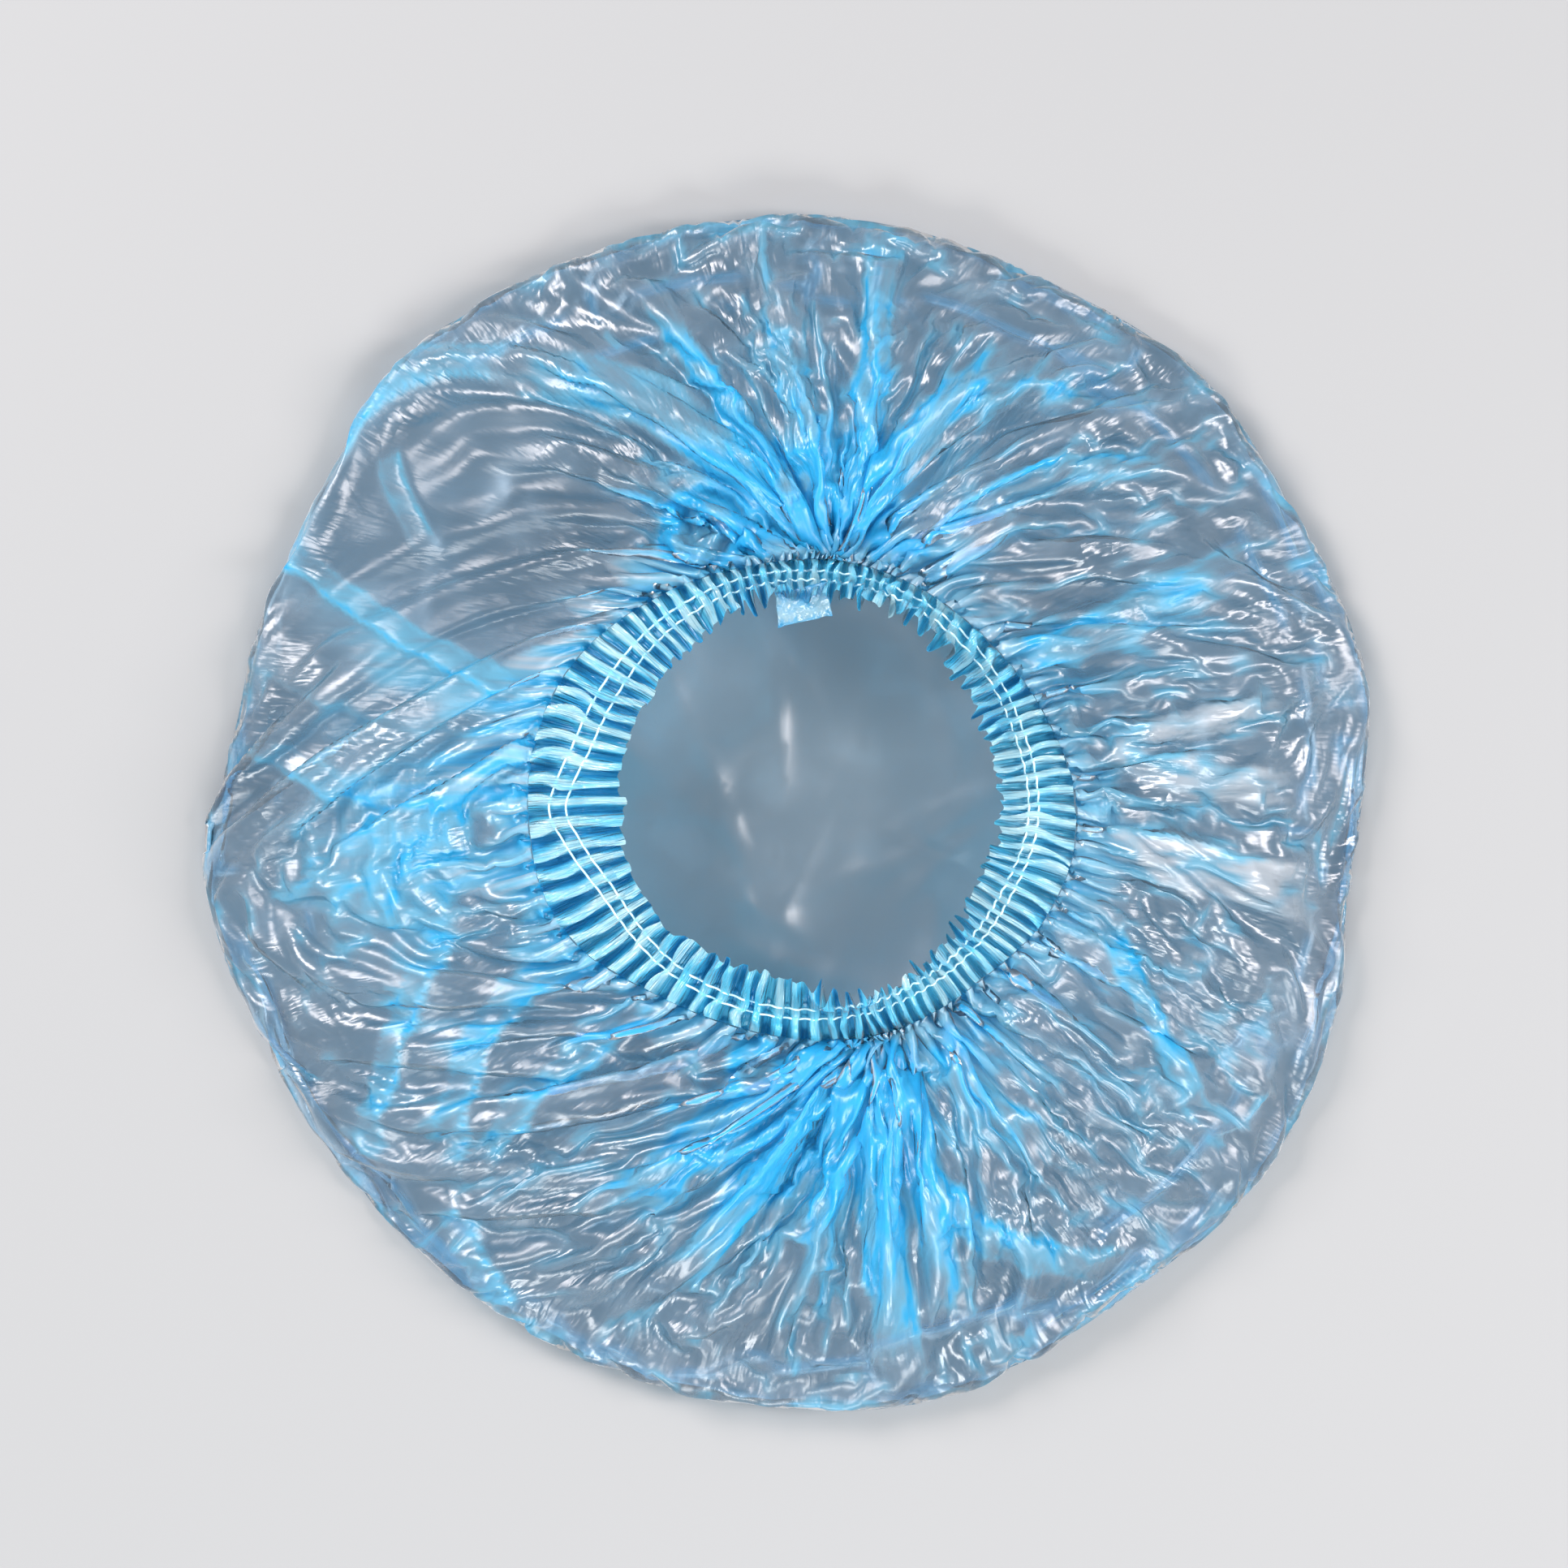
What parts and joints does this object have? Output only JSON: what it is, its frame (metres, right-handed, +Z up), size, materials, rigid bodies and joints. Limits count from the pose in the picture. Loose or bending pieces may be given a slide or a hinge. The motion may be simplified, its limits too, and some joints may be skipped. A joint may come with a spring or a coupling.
{
  "type": "disposable shower cap",
  "caption": "Thin clear film shower cap lying on its crown, with a gathered, pleated elastic hem round its opening.",
  "frame": {"origin": "on the surface the cap lies on, under the middle of its bounding box", "axes": "+Z up out of the opening, which the head goes into; the elastic tab is at +Y, and the hem lies flattest at -X"},
  "size_m": [0.2776, 0.2832, 0.0426],
  "materials": {
    "film": "clear crinkled polyethylene film with a light blue tint",
    "hem": "the same film gathered in pleats, so it looks a deeper blue",
    "elastic": "pale elastic thread welded in the hem",
    "tab": "several layers of film pressed together, milky pale blue"
  },
  "bodies": {
    "root": {"film_bag": "film", "hem_ruffle": "hem", "elastic_thread_inner": "elastic", "elastic_thread_outer": "elastic", "elastic_tab": "tab"}
  },
  "joints": []
}
